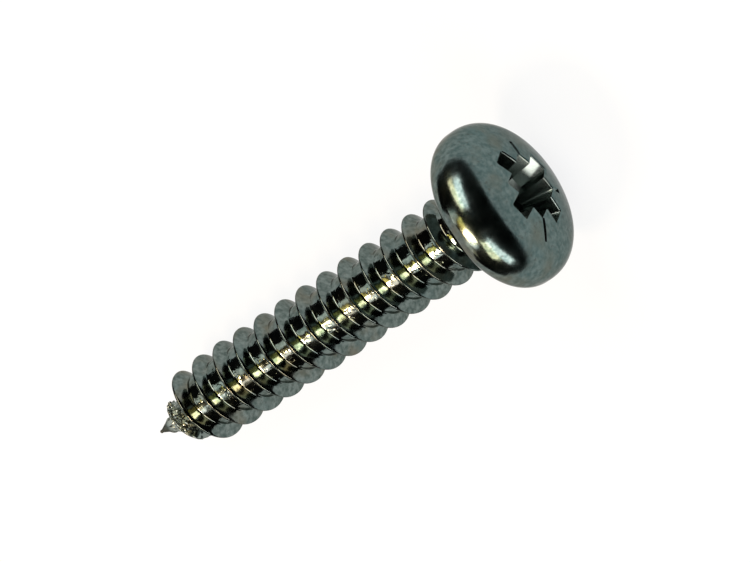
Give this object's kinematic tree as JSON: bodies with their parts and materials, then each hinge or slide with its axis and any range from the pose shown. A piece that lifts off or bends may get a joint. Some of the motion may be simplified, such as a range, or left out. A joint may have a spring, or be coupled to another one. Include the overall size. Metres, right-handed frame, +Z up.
{
  "type": "sheet metal screw",
  "caption": "Pan head tapping screw for sheet metal with a cone point, a coarse right-hand thread up to the head and a ribbed cross recess.",
  "frame": {"origin": "on the ground under the middle of the screw's box, as it lies at rest on its head's rim and its last full crest", "axes": "+X from the point towards the head, +Z up; the screw's own axis lies in XZ and rises 6.24 degrees towards the head"},
  "size_m": [0.0284, 0.0094, 0.0094],
  "materials": {
    "zinc_plate": "bright zinc plating over steel, satin on the head and glossy in the thread's root"
  },
  "bodies": {
    "root": {"screw": "zinc_plate"}
  },
  "joints": []
}
